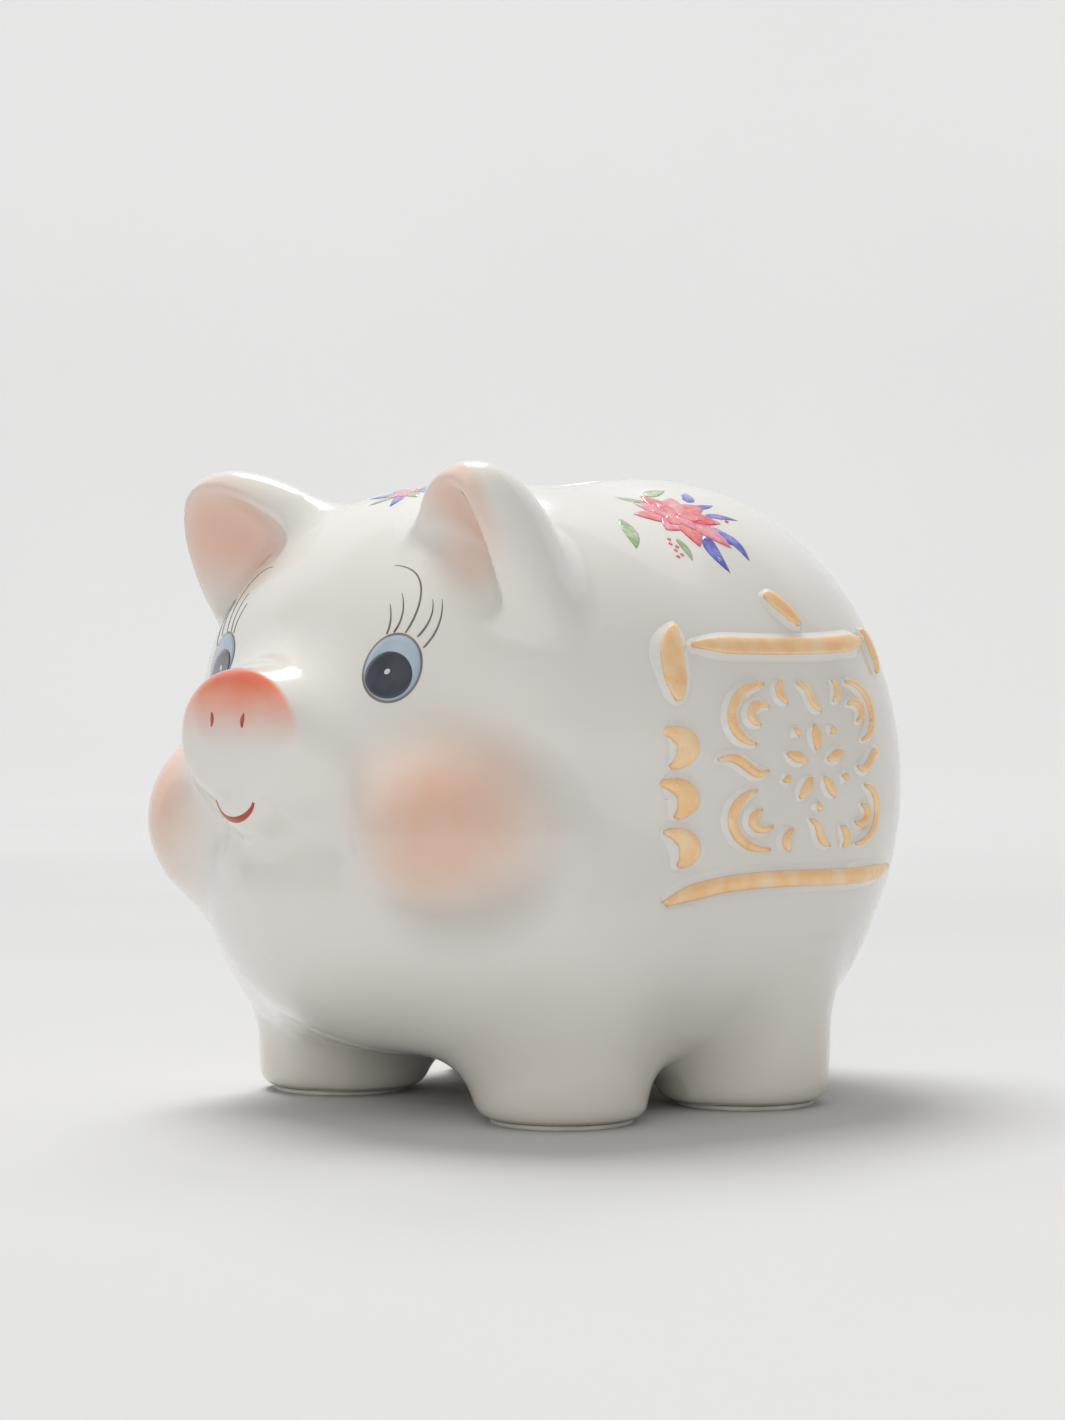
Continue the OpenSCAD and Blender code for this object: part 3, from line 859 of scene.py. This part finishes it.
def halo_material():
    """White slip, as glossy as the glaze."""
    s = Shader("white_slip_glaze")
    colour = s.mix(s.ramp(s.noise(30, 3), 0.3, 0.7), (0.82, 0.80, 0.75), (0.87, 0.86, 0.82))
    s.link(colour, s.base.inputs["Base Color"])
    s.link(s.ramp(s.noise(45, 3), 0.3, 0.7, 0.12, 0.18), s.base.inputs["Roughness"])
    s.put(Coat_Weight=0.7, Coat_Roughness=0.03)
    s.bump(s.noise(60, 2), 0.3, 0.4)
    return s.material


def gold_material():
    """Gold lustre, thin and brown where it pooled."""
    s = Shader("gold_lustre")
    thin = s.ramp(s.noise(140, 4), 0.35, 0.7)
    colour = s.mix(thin, (1.0, 0.62, 0.31), (1.0, 0.75, 0.47))
    worn = s.ramp(s.noise(420, 5, 0.7), 0.62, 0.72)
    colour = s.mix(s.math("MULTIPLY", worn, 0.5), colour, (0.55, 0.27, 0.10))
    s.link(colour, s.base.inputs["Base Color"])
    s.link(s.ramp(s.noise(90, 3), 0.3, 0.7, 0.16, 0.30), s.base.inputs["Roughness"])
    s.put(Metallic=0.2)
    s.bump(s.noise(260, 3), 0.35, 0.25)
    return s.material


def enamel(name, dark, light, scale=300, rough=0.15):
    """A painted layer, a little uneven, darker to its edge or end."""
    s = Shader(name)
    grain = s.ramp(s.noise(scale, 4), 0.3, 0.7)
    fade = s.math("SUBTRACT", 1.0, s.math("MULTIPLY", s.tone(), 0.6))
    colour = s.mix(s.math("MULTIPLY", grain, fade), dark, light)
    s.link(colour, s.base.inputs["Base Color"])
    s.link(s.ramp(s.noise(120, 2), 0.3, 0.7, rough, rough + 0.08), s.base.inputs["Roughness"])
    s.put(Coat_Weight=0.6, Coat_Roughness=0.04)
    return s.material


def watercolour(name, pale, deep, heart):
    """A fired transfer: washed colour, deeper towards its edge, with a warm heart and bare spots."""
    s = Shader(name)
    wash = s.ramp(s.noise(230, 4, 0.6), 0.34, 0.64)
    edge = s.ramp(s.tone(), 0.35, 1.0)
    colour = s.mix(wash, pale, deep)
    colour = s.mix(s.math("MULTIPLY", edge, 0.5), colour, deep)
    colour = s.mix(s.ramp(s.tone(), 0.0, 0.4, 0.7, 0.0), colour, heart)
    bare = s.ramp(s.noise(340, 5, 0.65), 0.56, 0.70)
    colour = s.mix(s.math("MULTIPLY", bare, 0.7), colour, IVORY)
    s.link(colour, s.base.inputs["Base Color"])
    s.put(Roughness=0.16, Coat_Weight=0.6, Coat_Roughness=0.04)
    s.bump(s.noise(500, 3), 0.1, 0.05)
    return s.material


def rubber_material(name, dark, light):
    """Moulded rubber with a fine matt grain."""
    s = Shader(name)
    colour = s.mix(s.ramp(s.noise(120, 4), 0.3, 0.7), dark, light)
    s.link(colour, s.base.inputs["Base Color"])
    s.link(s.ramp(s.noise(500, 3), 0.3, 0.7, 0.52, 0.70), s.base.inputs["Roughness"])
    s.bump(s.noise(1500, 3), 0.3, 0.12)
    return s.material


GLAZE = glaze_material()
BISQUE = bisque_material()
SLIP = halo_material()
GOLD = gold_material()
LINE_BROWN = enamel("brown_enamel", (0.12, 0.10, 0.085), (0.24, 0.21, 0.18))
EYE_RIM = enamel("eye_rim_enamel", (0.17, 0.165, 0.15), (0.30, 0.29, 0.26))
EYE_BLUE = enamel("eye_blue_enamel", (0.36, 0.45, 0.56), (0.55, 0.64, 0.74), 90)
IRIS = enamel("iris_enamel", (0.022, 0.027, 0.042), (0.075, 0.085, 0.115), 110, 0.1)
GLINT = enamel("glint_enamel", (0.65, 0.65, 0.68), (0.85, 0.85, 0.86))
LINE_RED = enamel("red_enamel", (0.42, 0.035, 0.02), (0.62, 0.09, 0.05))
ROSE = watercolour("rose_transfer", (0.88, 0.30, 0.32), (0.78, 0.07, 0.10), (0.90, 0.42, 0.22))
PINK = watercolour("pink_transfer", (0.90, 0.44, 0.50), (0.82, 0.16, 0.26), (0.88, 0.40, 0.28))
VIOLET = watercolour("violet_transfer", (0.30, 0.33, 0.78), (0.07, 0.08, 0.46), (0.16, 0.18, 0.60))
LEAFY = watercolour("leaf_transfer", (0.50, 0.64, 0.34), (0.22, 0.38, 0.15), (0.56, 0.66, 0.38))
STOPPER_RUBBER = rubber_material("stopper_rubber", (0.025, 0.025, 0.028), (0.045, 0.045, 0.05))
PAD_RUBBER = rubber_material("pad_rubber", (0.60, 0.58, 0.53), (0.72, 0.70, 0.65))

# ---- glazed body


def glazed_body():
    """One glazed skin over shell, snout, lip, ears, legs and tail, hollow inside."""
    outside = make_object("glazed_body", *pig_mesh())
    inside = make_object("coin_space", *cavity_mesh())
    cut = outside.modifiers.new("hollow", "BOOLEAN")
    cut.operation = "DIFFERENCE"
    cut.solver = "MANIFOLD"
    cut.object = inside
    done = outside.evaluated_get(bpy.context.evaluated_depsgraph_get())
    mesh = bpy.data.meshes.new_from_object(done)
    outside.modifiers.clear()
    outside.data = mesh
    bpy.data.objects.remove(inside)
    count = len(mesh.vertices)
    points = np.empty(count * 3)
    mesh.vertices.foreach_get("co", points)
    points = points.reshape(-1, 3) / MM
    shell = np.abs(cavity_form(*points.T)) < 0.25
    mesh.materials.clear()
    mesh.materials.append(GLAZE)
    mesh.materials.append(BISQUE)
    slots = [int(all(shell[v] for v in p.vertices)) for p in mesh.polygons]
    mesh.polygons.foreach_set("material_index", slots)
    mesh.polygons.foreach_set("use_smooth", np.ones(len(mesh.polygons), bool))
    normals = np.empty(count * 3)
    mesh.vertices.foreach_get("normal", normals)
    normals = normals.reshape(-1, 3)
    true = np.abs(whole_form(points)) < 0.03
    normals[true] = unit(slopes(whole_form, points[true]))
    mesh.normals_split_custom_set_from_vertices(normals.tolist())
    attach(outside, "bank")
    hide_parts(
        "body_shell", "snout", "lower_lip", "ear_left", "ear_right", "tail",
        "leg_front_left", "leg_front_right", "leg_rear_left", "leg_rear_right",
    )
    return outside


glazed_body()

# ---- gilded relief

# strokes are cubic curves in flank coordinates: along the flank to the rear, then up
BARS = (
    ((-31.5, 25.5), (-10, 24.3), (10, 24.3), (31, 26)),
    ((-37, -35), (-24, -26), (6, -34), (35, -30)),
)
HEAVY = (
    ((-7, 37), (-4, 36), (0, 33), (2.5, 29.8)),
    ((-35, 30), (-36.5, 25), (-35, 19), (-34.5, 12.5)),
    ((35, 28.5), (37, 26.5), (36.5, 21.5), (34.5, 18)),
    ((-38, 5.5), (-32.5, 6), (-31, 0), (-36, -3)),
    ((-38, -6.5), (-33, -6.5), (-31, -11), (-35, -15)),
    ((-37, -18), (-32.5, -18.5), (-31, -23), (-34.5, -26.5)),
)
OUTER_SCROLL = ((-14.5, 16), (-26, 16), (-26.5, 3.4), (-18, 1.8))
INNER_SCROLL = ((-13.8, 10.6), (-19, 12.7), (-21, 7.6), (-16.6, 6.4))
SPRIG = ((-9, 16.5), (-11, 15.2), (-10.4, 12.7), (-8, 11.4))
TENDRIL = ((-27, -1.6), (-21, 0.9), (-20, -7.5), (-14.8, -4.5))
STEM = ((-3.8, 16), (2, 14.4), (-2, 11), (2.8, 9.3))
ROSETTE_T = -3.7
ROSETTE_PETALS = 5
# half widths of the strokes, and how much of each is gilded
STROKE_W = 2.3
FINE_W = 1.3
GILDED = 0.85


def turned(line, a, b):
    """The same stroke mirrored about the middle of the rosette."""
    return [(a * p, b * (q - ROSETTE_T) + ROSETTE_T) for p, q in line]


def ray(angle, inner, outer):
    """A short radial stroke of the rosette."""
    a = math.radians(angle)
    return [(r * math.cos(a), r * math.sin(a) + ROSETTE_T) for r in np.linspace(inner, outer, 4)]


def relief_lines():
    """Every stroke as its line, steps, half width and bluntness."""
    lines = [(c, 44, STROKE_W, 0.12) for c in BARS] + [(c, 18, STROKE_W, 0.3) for c in HEAVY]
    for a in SIDES:
        for b in SIDES:
            lines.append((turned(OUTER_SCROLL, a, b), 20, FINE_W, 0.2))
            lines.append((turned(INNER_SCROLL, a, b), 14, FINE_W, 0.3))
            lines.append((turned(SPRIG, a, b), 10, FINE_W, 0.35))
        lines.append((turned(TENDRIL, a, 1), 18, FINE_W, 0.25))
        lines.append((turned(STEM, a, a), 14, FINE_W, 0.3))
    apart = 360 / ROSETTE_PETALS
    for i in range(ROSETTE_PETALS):
        lines.append((ray(90 + apart * i, 3.6, 9.8), 12, 1.15 * FINE_W, 0.45))
        lines.append((ray(90 + apart * (i - 0.5), 9, 11.2), 8, 0.8 * FINE_W, 0.4))
    return lines


def relief(side, name):
    """White raised strokes with a gilded crown on each."""
    gold, halo = Pile(), Pile()
    on_skin = flank(side)
    flip = side > 0
    for c, steps, half, blunt in relief_lines():
        line = cubic(c, steps)
        width = ends(steps + 1, blunt)
        # how far the white ridge reaches past the gold, and how high it stands
        spare, high = (1.7, 1.6) if half == STROKE_W else (1.1, 1.3)
        before = line[0] + unit(line[0] - line[1]) * spare
        after = line[-1] + unit(line[-1] - line[-2]) * spare
        grown = np.concatenate([[before], line, [after]])
        wide = np.concatenate([[0.6], spare + (half + 0.3) * width, [0.6]])
        rise = np.concatenate([[0.0], high * np.clip(width * 1.3, 0.4, 1), [0.0]])
        stroke(halo, on_skin, grown, wide, rise, soft=True, ring=16, flip=flip)
        gilt = half * GILDED * width
        stroke(gold, on_skin, line, gilt, 0.7 * width, base=high - 0.4, sink=-0.5, ring=14, flip=flip)
    crown = gold.build("gilding_" + name, [GOLD])
    ridge = halo.build("relief_ridge_" + name, [SLIP])
    for obj, slot in ((crown, "gilding"), (ridge, "glaze")):
        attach(obj, "bank")
    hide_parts("relief_" + name)


for side, name in zip(SIDES, SIDE_NAMES):
    relief(side, name)

# ---- painted face

EYE_C = (34, -79, 108)
EYE_N = (0.42, -0.87, 0.26)
EYE_X = tuple(np.cross((0, 0, 1), unit(EYE_N)))
# rim, blue, iris and glint: centre, half sizes, turn and points round the outline
EYE_OVALS = (
    (0, 0, 8.25, 8.5, -28, 48),
    (0, 0, 7.65, 7.9, -28, 48),
    (-0.75, -1.7, 6.6, 5.6, -12, 48),
    (-1.2, -0.9, 0.85, 0.62, 20, 24),
)
# each painted layer stands this much over the one below it
LAYER_LIFT = 0.03
LASHES = (
    ((-2.9, 8.2), (-2.0, 10.2), (-2.3, 13), (-3.6, 16)),
    ((-0.9, 8.5), (1.0, 11), (1.3, 14.6), (-0.9, 18.6)),
    ((2.4, 8.3), (6.4, 14.4), (5.8, 25.4), (-5.4, 26.2)),
    ((5.9, 7.2), (8.4, 10), (9.4, 13), (7.9, 16.8)),
    ((7.9, 4.6), (10.7, 7.4), (12.1, 11.6), (10.3, 16.8)),
)
SMILE = ((-7.6, 2.2), (-5, -3.6), (5, -3.6), (7.6, 2.2))
NOSTRIL = ((6.7, 3.6), (6.1, 2.6), (6.0, 1.4), (6.3, 0.3))


def eye(side, name):
    """Painted eye: rim, pale blue, slate iris and a glint."""
    on_skin = mirrored(pinned(EYE_C, EYE_N, EYE_X), side)
    flip = side < 0
    pile = Pile()
    for slot, outline in enumerate(EYE_OVALS):
        rows = 3 if outline is EYE_OVALS[-1] else 6
        patch(pile, on_skin, oval(*outline), LAYER_LIFT * (slot + 1), slot, rows=rows, flip=flip)
    obj = pile.build("painted_eye_" + name, [EYE_RIM, EYE_BLUE, IRIS, GLINT])
    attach(obj, "bank")
    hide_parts("eye_" + name)
    hairs = Pile()
    for c in LASHES:
        line = cubic(c, 22)
        t = np.linspace(0, 1, 23)
        half = 0.34 * np.sqrt(np.clip(1.02 - t, 0.02, 1)) * np.clip(t * 8 + 0.5, 0, 1)
        stroke(hairs, on_skin, line, half, 0.10, ring=8, sink=0.2, flip=flip)
    obj = hairs.build("painted_lashes_" + name, [LINE_BROWN])
    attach(obj, "bank")
    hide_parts("lashes_" + name)


def smile():
    """Red upturned line on the lower lip."""
    pile = Pile()
    on_skin = pinned((0, -102, 74.5), (0, -1, 0), (1, 0, 0))
    line = cubic(SMILE, 40)
    half = 0.3 + 0.45 * np.sin(np.linspace(0, np.pi, 41))
    stroke(pile, on_skin, line, half, 0.14, ring=8, sink=0.2)
    obj = pile.build("painted_smile", [LINE_RED])
    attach(obj, "bank")
    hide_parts("smile")


def nostrils():
    """Two short red strokes on the snout."""
    pile = Pile()
    on_skin = pinned((0, -102, 94), (0, -1, 0), (1, 0, 0))
    for side in SIDES:
        line = cubic([(side * a, b) for a, b in NOSTRIL], 20)
        half = 0.28 + 0.5 * np.sin(np.linspace(0, np.pi, 21))
        stroke(pile, on_skin, line, half, 0.12, ring=8, sink=0.2)
    obj = pile.build("painted_nostrils", [LINE_RED])
    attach(obj, "bank")
    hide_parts("nostrils")


for side, name in zip(SIDES, SIDE_NAMES):
    eye(side, name)
smile()
nostrils()

# ---- floral transfers

# leaves as root, turn, length, width and bend
GREEN_LEAVES = (
    (-20, -1, -110, 15, 4.5, 0.6),
    (-7, -8, -95, 9, 2.6, 0.4),
    (0, 14, 20, 9, 4, 0.5),
    (-3, 10, 150, 8, 3, 0.2),
)
VIOLET_LEAVES = (
    (10, 9, 60, 7, 3.6, 0),
    (9, 2, -8, 11, 2.4, 0.5),
    (5, -3, -50, 10, 5, 0.6),
    (4, -6, -95, 14, 4.4, -1.4),
    (9, -4, -75, 12, 3.2, 1.2),
    (8, 6, 10, 9, 2.2, -0.3),
)
ROSE_MIDDLE = (1.0, 2.5)
PETAL_LENGTHS = (12.5, 11, 12.5, 11, 14, 11.5, 14, 16, 12)
INNER_PETALS = 6
BERRIES = ((-10, -9), (-11, -11), (-9.5, -12), (-11, -13.5), (-10, -15), (-12, -16), (14, 1), (15.2, -0.4))
BERRY_R = 0.55
CROWN_LEAVES = ((15, 12), (60, 10), (100, 9), (150, 12), (195, 11), (240, 9), (300, 10), (340, 9))
CROWN_PETALS = 5


def layered(pile, on_skin, shapes, rows, flip=False):
    """Lays (outline, slot) shapes over each other, each a hair higher than the last."""
    for i, (outline, slot) in enumerate(shapes):
        small = len(outline) < 20
        patch(pile, on_skin, outline, 0.02 + 0.005 * i, slot, rows=3 if small else rows, flip=flip)


def spray(side, name):
    """A rose, violet petals, leaves and berries high on the flank."""
    on_skin = mirrored(pinned((33, 8, 140), (0.53, -0.08, 0.84), (0, 1, 0)), side)
    shapes = [(leaf(*spec), 3) for spec in GREEN_LEAVES]
    shapes += [(leaf(*spec), 2) for spec in VIOLET_LEAVES]
    for i, length in enumerate(PETAL_LENGTHS):
        turn = 20 + 360 / len(PETAL_LENGTHS) * i
        shapes.append((leaf(*ROSE_MIDDLE, turn, length, 6.4, 0.4), i % 2))
    for i in range(INNER_PETALS):
        turn = 40 + 360 / INNER_PETALS * i
        shapes.append((leaf(*ROSE_MIDDLE, turn, 7, 4.6, 0.2), (i + 1) % 2))
    shapes += [(oval(a, b, BERRY_R, BERRY_R, 0, 14), 0) for a, b in BERRIES]
    pile = Pile()
    layered(pile, on_skin, shapes, 5, side < 0)
    obj = pile.build("floral_transfer_" + name, [ROSE, PINK, VIOLET, LEAFY])
    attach(obj, "bank")
    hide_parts("flower_" + name)


def crown_spray():
    """Violet leaves and a small pink bloom on top of the head."""
    on_skin = pinned((0, -50, 149), (0, -0.13, 0.99), (1, 0, 0))
    shapes = []
    for turn, length in CROWN_LEAVES:
        shapes.append((leaf(0, 0, turn, length, 3.4, 0.5), 2 if length > 9 else 3))
    for i in range(CROWN_PETALS):
        turn = 30 + 360 / CROWN_PETALS * i
        shapes.append((leaf(0, 0, turn, 4.5, 3.4), i % 2))
    pile = Pile()
    layered(pile, on_skin, shapes, 4)
    obj = pile.build("floral_transfer_crown", [ROSE, PINK, VIOLET, LEAFY])
    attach(obj, "bank")
    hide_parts("flower_crown")


for side, name in zip(SIDES, SIDE_NAMES):
    spray(side, name)
crown_spray()

# ---- stopper and pads


def stopper():
    """One-piece rubber bung with a raised grip ring."""
    shank = BORE_R - 0.05
    seat = BELLY_Z + RECESS_D
    dimple = seat - 1.2
    rim = RECESS_R - 0.6
    top = FLOOR_Z + 3.4
    ring_z = BELLY_Z + 0.4
    underside = [(0, dimple), (6, dimple), (7, ring_z), (9, ring_z), (10, dimple), (14, dimple)]
    flange = [(15.5, BELLY_Z + 0.5), (rim - 0.6, BELLY_Z + 0.5), (rim, BELLY_Z + 1.1), (rim, seat)]
    plug = [(shank, seat), (shank, FLOOR_Z + 2), (shank - 1.2, top), (shank - 3.2, top)]
    inside = [(shank - 3.6, seat + 2.2), (0, seat + 2.2)]
    profile = underside + flange + plug + inside
    bung = lathe(rounded(profile, 0.45), (0, BORE_Y))
    obj = make_object("rubber_stopper", *bung, [STOPPER_RUBBER])
    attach(obj, "bung")
    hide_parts("stopper")


def pads():
    """Soft foot pads with a rounded lower edge."""
    for node in ("pad_front_left", "pad_front_right", "pad_rear_left", "pad_rear_right"):
        low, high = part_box(node)
        radius = (high[0] - low[0]) / 2 / MM
        profile = [(0, 0), (radius - 3, 0), (radius, 0), (radius, PAD_T), (radius - 3, PAD_T), (0, PAD_T)]
        turned_pad = lathe(rounded(profile, 0.6), pad_place(node), 72)
        obj = make_object("soft_" + node, *turned_pad, [PAD_RUBBER])
        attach(obj, "bank")
        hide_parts(node)


stopper()
pads()

# ---- stage, lights and camera

AIM = np.array([0, -10, 96.8])
VIEW_TURN = math.radians(50.73)
VIEW_RISE = math.radians(1.47)
VIEW_FAR = 1001.8
LENS = 135.4


def towards(turn, rise):
    """Direction from the pig: turn 0 is in front of it, and turns to its left."""
    flat = math.cos(rise)
    return Vector((math.sin(turn) * flat, -math.cos(turn) * flat, math.sin(rise)))


def stage():
    """Pale sweep: floor, bend and wall in one sheet."""
    s = Shader("sweep_paper")
    colour = s.mix(s.ramp(s.noise(3, 2), 0.3, 0.7), (0.61, 0.61, 0.61), (0.63, 0.63, 0.63))
    s.link(colour, s.base.inputs["Base Color"])
    s.put(Roughness=0.9)
    s.base.inputs["Emission Color"].default_value = (1, 1, 1, 1)
    back = np.array([-math.sin(VIEW_TURN), math.cos(VIEW_TURN)])
    behind = s.node("ShaderNodeVectorMath", operation="DOT_PRODUCT")
    s.link(s.place(), behind.inputs[0])
    behind.inputs[1].default_value = (*back, 0)
    s.link(s.ramp(behind.outputs["Value"], 0.4, 1.9, 0.0, 0.41), s.base.inputs["Emission Strength"])
    near, far, bend, wide, high = 4500.0, 1500.0, 500.0, 3500.0, 2600.0
    line = [(-near, 0.0), (far, 0.0)]
    bend_steps = 12
    for i in range(1, bend_steps + 1):
        a = math.pi / 2 * i / bend_steps
        line.append((far + bend * math.sin(a), bend - bend * math.cos(a)))
    line.append((far + bend, high))
    left = np.array([math.cos(VIEW_TURN), math.sin(VIEW_TURN)])
    points = [(*(back * d + left * w), h) for d, h in line for w in (-wide, wide)]
    faces = [(2 * i, 2 * i + 1, 2 * i + 3, 2 * i + 2) for i in range(len(line) - 1)]
    sweep = make_object("sweep", points, faces, [s.material])


def soft_light(name, turn, rise, far, size, power):
    """An area light aimed at the pig, placed round it like the camera."""
    lamp = bpy.data.lights.new(name, "AREA")
    lamp.shape = "RECTANGLE"
    lamp.size, lamp.size_y = size[0] * MM, size[1] * MM
    lamp.energy = power
    obj = bpy.data.objects.new(name, lamp)
    way = towards(math.radians(turn), math.radians(rise))
    obj.location = Vector(AIM * MM) + way * far * MM
    obj.rotation_euler = way.to_track_quat("Z", "Y").to_euler()
    bpy.context.collection.objects.link(obj)
    return obj


def camera():
    """Camera low in front of the pig's left cheek."""
    data = bpy.data.cameras.new("view")
    data.sensor_fit = "HORIZONTAL"
    data.sensor_width = 36
    data.lens = LENS
    data.clip_start = 0.05
    data.clip_end = 20
    obj = bpy.data.objects.new("view", data)
    way = towards(VIEW_TURN, VIEW_RISE)
    obj.location = Vector(AIM * MM) + way * VIEW_FAR * MM
    obj.rotation_euler = way.to_track_quat("Z", "Y").to_euler()
    bpy.context.collection.objects.link(obj)
    bpy.context.scene.camera = obj


def world():
    """Even pale surroundings."""
    w = bpy.data.worlds.new("studio")
    w.use_nodes = True
    w.node_tree.nodes["Background"].inputs["Color"].default_value = (1.0, 0.99, 0.975, 1)
    w.node_tree.nodes["Background"].inputs["Strength"].default_value = 0.46
    bpy.context.scene.world = w


def overhead(turn, rise, strength, spread):
    """A very large soft lamp high above, the same strength everywhere."""
    lamp = bpy.data.lights.new("overhead", "SUN")
    lamp.energy = strength
    lamp.angle = math.radians(spread)
    obj = bpy.data.objects.new("overhead", lamp)
    way = towards(math.radians(turn), math.radians(rise))
    obj.rotation_euler = way.to_track_quat("Z", "Y").to_euler()
    bpy.context.collection.objects.link(obj)
    return obj


stage()
world()
camera()
soft_light("window", turn=231, rise=47, far=1500, size=(420, 500), power=4)
fill = soft_light("fill", turn=40, rise=14, far=1600, size=(900, 900), power=4)
sky = overhead(turn=-100, rise=64, strength=2.2, spread=30)
# only the window is mirrored in the glaze
for lamp in (sky, fill):
    lamp.visible_glossy = False
bpy.context.scene.view_settings.view_transform = "Standard"
